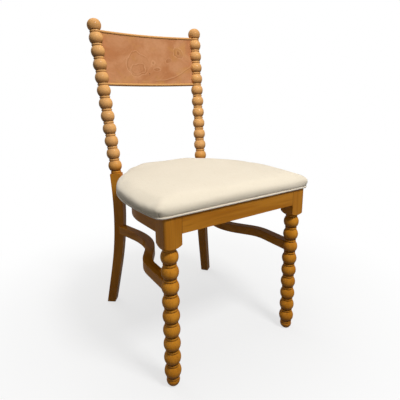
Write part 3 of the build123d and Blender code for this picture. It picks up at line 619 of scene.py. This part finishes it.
def planSteps(plan):
    count = plan["steps"]
    turn = math.radians(plan["rearTurn"])
    spread = plan["frontSideRadius"] - plan["cornerRadius"]
    frontTurn = math.asin((plan["widestY"] - plan["frontY"] - plan["cornerRadius"]) / spread)
    sideX = plan["frontSideRadius"] - plan["halfWidth"]
    cornerX = sideX - spread * math.cos(frontTurn)
    corner = Vector((cornerX, plan["frontY"] + plan["cornerRadius"], 0))
    flank = Vector((plan["sideRadius"] - plan["halfWidth"], plan["widestY"], 0))
    flankEnd = flank + plan["sideRadius"] * Vector((-math.cos(turn), math.sin(turn), 0))
    run = (plan["rearY"] - flankEnd.y - plan["rearRadius"] * (1 - math.sin(turn))) / math.cos(turn)
    slant = run * Vector((math.sin(turn), math.cos(turn), 0))
    rear = flankEnd + slant + plan["rearRadius"] * Vector((math.cos(turn), -math.sin(turn), 0))
    left = [
        ("arc", corner, math.pi / 2 - frontTurn, count["corner"]),
        ("arc", Vector((sideX, plan["widestY"], 0)), frontTurn, count["frontSide"]),
        ("arc", flank, turn, count["side"]),
        ("line", slant, 0, count["slant"]),
        ("arc", rear, math.pi / 2 - turn, count["rearCorner"]),
    ]
    right = []
    for kind, place, angle, steps in reversed(left):
        flipped = Vector((-place.x, place.y, 0)) if kind == "arc" else Vector((place.x, -place.y, 0))
        right.append((kind, flipped, angle, steps))
    rearLine = ("line", Vector((-2 * rear.x, 0, 0)), 0, count["rear"])
    frontLine = ("line", Vector((2 * cornerX, 0, 0)), 0, count["front"])
    return Vector((cornerX, plan["frontY"], 0)), left + [rearLine] + right + [frontLine]


def runPlan(bm, geom, plan, steps):
    for kind, place, angle, count in steps:
        centre, step = (place, (0, 0, 0)) if kind == "arc" else ((0, 0, 0), place / count)
        made = bmesh.ops.spin(bm, geom=geom, cent=centre, axis=(0, 0, 1), dvec=step, angle=-angle,
                              steps=count, use_merge=False, use_duplicate=False)
        geom = made["geom_last"]
    bmesh.ops.remove_doubles(bm, verts=bm.verts, dist=plan["merge"])


def planOutline(plan):
    start, steps = planSteps(plan)
    bm = bmesh.new()
    runPlan(bm, [bm.verts.new(start)], plan, steps)
    return bm, Matrix.Translation((0, -plan["crownY"], 0))  # scaling is about the crown


# cushion: share of the plan and height from the piping to the crown, then swelled as stuffed cloth
cushionSet = {
    "levels": [(1.003, 0.0008), (1.007, 0.0038), (1.019, 0.0078), (1.033, 0.0128), (1.037, 0.018),
               (1.028, 0.0232), (1.006, 0.0275), (0.975, 0.031), (0.93, 0.0338), (0.865, 0.0361),
               (0.77, 0.038), (0.64, 0.0394), (0.47, 0.0403), (0.28, 0.0408), (0.09, 0.041)],
    "voxel": 0.005, "pressure": 3.2, "frames": 20, "cap": 0.005, "pinBelow": 0.0035,
    "stretchStiffness": 30, "bendStiffness": 2, "quality": 5,
    "calm": 10, "calmFactor": 0.5, "calmAbove": 0.002, "finerLevels": 1,
}
dartSet = {
    "from": 0.004, "height": 0.014, "width": 0.003, "depth": 0.0016, "reach": 0.02,
    "line": (0.0004, 0.0016), "share": 0.75, "back": (0.006, 0.014), "fadeFrom": 0.009, "fadeTo": 0.017,
}


def cushionShell(plan, look):
    bm, aboutCrown = planOutline(plan)
    ring = list(bm.edges)
    verts = list(bm.verts)
    share = 1.0
    for i, (wide, height) in enumerate(look["levels"]):
        if i:
            made = bmesh.ops.extrude_edge_only(bm, edges=ring)["geom"]
            verts = [g for g in made if isinstance(g, bmesh.types.BMVert)]
            edges = [g for g in made if isinstance(g, bmesh.types.BMEdge)]
            ring = [edge for edge in edges if all(v in verts for v in edge.verts)]
        bmesh.ops.scale(bm, vec=(wide / share, wide / share, 1), space=aboutCrown, verts=verts)
        for v in verts:
            v.co.z = plan["frameTop"] + height
        if not i:
            bmesh.ops.contextual_create(bm, geom=ring)
        share = wide
    bmesh.ops.contextual_create(bm, geom=ring)
    bmesh.ops.recalc_face_normals(bm, faces=bm.faces)
    return meshObject("cushionShell", bm)


def bakedCopy(name, source):
    bpy.context.view_layer.update()
    mesh = bpy.data.meshes.new_from_object(source.evaluated_get(bpy.context.evaluated_depsgraph_get()))
    piece = bpy.data.objects.new(name, mesh)
    scene.collection.objects.link(piece)
    bpy.data.objects.remove(source)
    return piece


def swell(piece, plan, look):
    rest = [v.co.copy() for v in piece.data.vertices]
    pinTop = plan["frameTop"] + look["pinBelow"]
    pins = piece.vertex_groups.new(name="sewn")
    pins.add([v.index for v in piece.data.vertices if v.co.z < pinTop], 1.0, "REPLACE")
    cloth = piece.modifiers.new("stuffing", "CLOTH")
    cloth.settings.use_pressure = True
    cloth.settings.uniform_pressure_force = look["pressure"]
    cloth.settings.effector_weights.gravity = 0
    cloth.settings.vertex_group_mass = "sewn"
    cloth.settings.tension_stiffness = look["stretchStiffness"]
    cloth.settings.compression_stiffness = look["stretchStiffness"]
    cloth.settings.bending_stiffness = look["bendStiffness"]
    cloth.settings.quality = look["quality"]
    cloth.collision_settings.use_collision = False
    cloth.point_cache.frame_start = 1
    cloth.point_cache.frame_end = look["frames"]
    for step in range(1, look["frames"] + 1):
        scene.frame_set(step)
    swelled = bakedCopy("swelledCushion", piece)
    scene.frame_set(1)
    for v, before in zip(swelled.data.vertices, rest):
        move = v.co - before
        if move.length > look["cap"]:
            v.co = before + move.normalized() * look["cap"]
    return swelled


def cornerTip(plan):
    start = planSteps(plan)[0]
    radius, diagonal = plan["cornerRadius"], plan["diagonal"]
    return Vector((abs(start.x) + radius * diagonal, plan["frontY"] + radius * (1 - diagonal), 0))


def sewDarts(piece, plan, dart):
    # a short pull into the stuffing just above the piping, at both front corners
    tip = cornerTip(plan)
    inward = Vector((-plan["diagonal"], plan["diagonal"], 0))
    for v in piece.data.vertices:
        up = (v.co.z - plan["frameTop"] - dart["from"]) / dart["height"]
        if 0 < up < 1 and v.co.y < tip.y + dart["reach"]:
            across = (abs(v.co.x) - tip.x) * inward.y - (v.co.y - tip.y) * inward.x
            pull = dart["depth"] * (1 - up) * math.exp(-(across / dart["width"]) ** 2)
            v.co += Vector((math.copysign(1, v.co.x) * inward.x, inward.y, 0)) * pull


def cushionPiece(plan, look, dart):
    shell = cushionShell(plan, look)
    remesh = shell.modifiers.new("evenCloth", "REMESH")
    remesh.mode = "VOXEL"
    remesh.voxel_size = look["voxel"]
    shell = bakedCopy("evenCushion", shell)
    shell = swell(shell, plan, look)
    bm = bmesh.new()
    bm.from_mesh(shell.data)
    for i in range(look["calm"]):
        free = [v for v in bm.verts if v.co.z > plan["frameTop"] + look["calmAbove"]]
        bmesh.ops.smooth_vert(bm, verts=free, factor=look["calmFactor"], use_axis_x=True,
                              use_axis_y=True, use_axis_z=True)
    bm.to_mesh(shell.data)
    bm.free()
    finer = shell.modifiers.new("finer", "SUBSURF")
    finer.levels = finer.render_levels = look["finerLevels"]
    shell = bakedCopy("seatCushion", shell)
    sewDarts(shell, plan, dart)
    shell.data.polygons.foreach_set("use_smooth", [True] * len(shell.data.polygons))
    return shell


creaseSet = dartSet | {"tip": cornerTip(planSet), "low": planSet["frameTop"] + dartSet["fadeFrom"],
                       "high": planSet["frameTop"] + dartSet["fadeTo"]}
cushion = cushionPiece(planSet, cushionSet, dartSet)
dress(cushion, clothMaterial("seatCloth", seatClothSet, creaseSet))
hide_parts("seat_cover", "seat_foam")
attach(cushion, "root")
print("cushion sewn:", len(cushion.data.polygons), "faces")

# piping: a covered cord sewn round the cushion's lower edge
pipingSet = {"radius": pipingRadius, "height": planSet["frameTop"] + pipingRadius, "sides": 14}


def pipingPiece(plan, look):
    start, steps = planSteps(plan)
    bm = bmesh.new()
    stand = Matrix.Translation(start + Vector((0, 0, look["height"]))) @ Matrix.Rotation(math.pi / 2, 4, "Y")
    bmesh.ops.create_circle(bm, segments=look["sides"], radius=look["radius"], matrix=stand)
    runPlan(bm, list(bm.verts) + list(bm.edges), plan, steps)
    bmesh.ops.recalc_face_normals(bm, faces=bm.faces)
    return meshObject("seatPiping", bm, smooth=True)


piping = pipingPiece(planSet, pipingSet)
dress(piping, clothMaterial("pipingCloth", pipingClothSet))
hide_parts("seat_piping")
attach(piping, "root")
print("piping sewn")

# dust cloth stretched under the board
dustSet = {"share": 0.87, "height": 0.0002, "thickness": 0.0005}


def dustPiece(plan, look):
    bm, aboutCrown = planOutline(plan)
    bmesh.ops.scale(bm, vec=(look["share"], look["share"], 1), space=aboutCrown, verts=bm.verts)
    bmesh.ops.translate(bm, vec=(0, 0, plan["frameTop"] + look["height"]), verts=bm.verts)
    made = bmesh.ops.contextual_create(bm, geom=list(bm.edges))
    bmesh.ops.recalc_face_normals(bm, faces=made["faces"])
    area = sum(f.calc_area() for f in made["faces"])
    bmesh.ops.solidify(bm, geom=made["faces"], thickness=look["thickness"])
    return meshObject("dustCloth", bm), area


dust, dustArea = dustPiece(planSet, dustSet)
dress(dust, clothMaterial("dustCloth", dustClothSet))
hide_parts("seat_dust_cover")
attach(dust, "root")
print("dust cloth laid")
